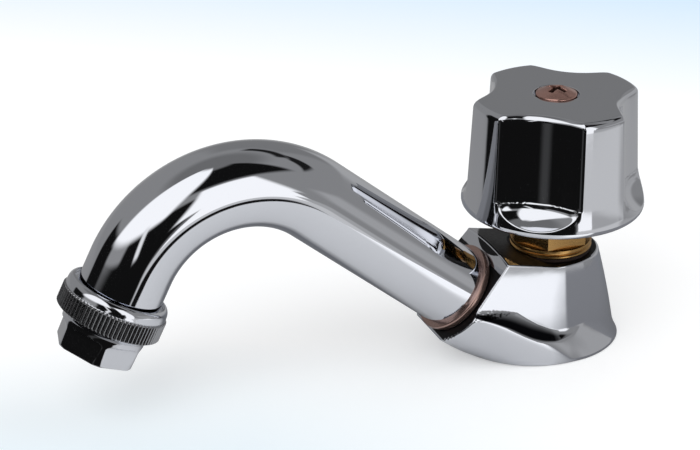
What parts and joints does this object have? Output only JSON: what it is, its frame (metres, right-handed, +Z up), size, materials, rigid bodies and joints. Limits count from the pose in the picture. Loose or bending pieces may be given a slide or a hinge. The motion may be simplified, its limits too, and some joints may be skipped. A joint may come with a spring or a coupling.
{
  "type": "basin tap",
  "caption": "Single basin tap with a lobed screw-down knob, a short fixed spout that bends over once, and a threaded aerator nozzle.",
  "frame": {"origin": "mouth of the inlet socket, on the valve axis, in the plane of the basin's deck", "axes": "+Z up along the valve axis, -X towards the spout's outlet"},
  "size_m": [0.1615, 0.0488, 0.0721],
  "materials": {
    "chrome_plate": "polished chrome plate on brass",
    "bare_brass": "turned bare brass",
    "copper_ring": "dull copper",
    "copper_plate": "coppered steel",
    "seal_rubber": "matt",
    "fibre": "pressed fibre",
    "packing": "plaited packing",
    "white_plastic": "moulded",
    "screen_steel": "woven wire"
  },
  "bodies": {
    "fixed": {"body": "chrome_plate", "base_seal": "seal_rubber", "bonnet_gasket": "fibre", "bonnet": "bare_brass", "gland_packing": "packing", "gland_follower": "bare_brass", "gland_nut": "bare_brass", "spout_washer": "copper_ring", "spout_tube": "chrome_plate", "spout_connector": "bare_brass", "outlet_sleeve": "chrome_plate", "aerator_housing": "chrome_plate", "aerator_washer": "seal_rubber", "aerator_cartridge": "white_plastic", "aerator_screens": "screen_steel"},
    "valve_disc": {"jumper": "bare_brass", "valve_washer": "seal_rubber", "jumper_nut": "bare_brass"},
    "handle": {"spindle": "bare_brass", "knob": "chrome_plate", "knob_screw": "copper_plate"}
  },
  "joints": [
    {"name": "spindle_rise", "type": "slide", "parent": "fixed", "child": "valve_disc", "axis": [0, 0, 1], "range_m": [0, 0.0045]},
    {"name": "knob_turn", "type": "hinge", "parent": "valve_disc", "child": "handle", "pos_m": [0, 0, 0.045], "axis": [0, 0, 1], "range_deg": [0, 540]}
  ],
  "couplings": [
    {"joint": "knob_turn", "follows": "spindle_rise", "rad_per_m": 2094.4}
  ]
}
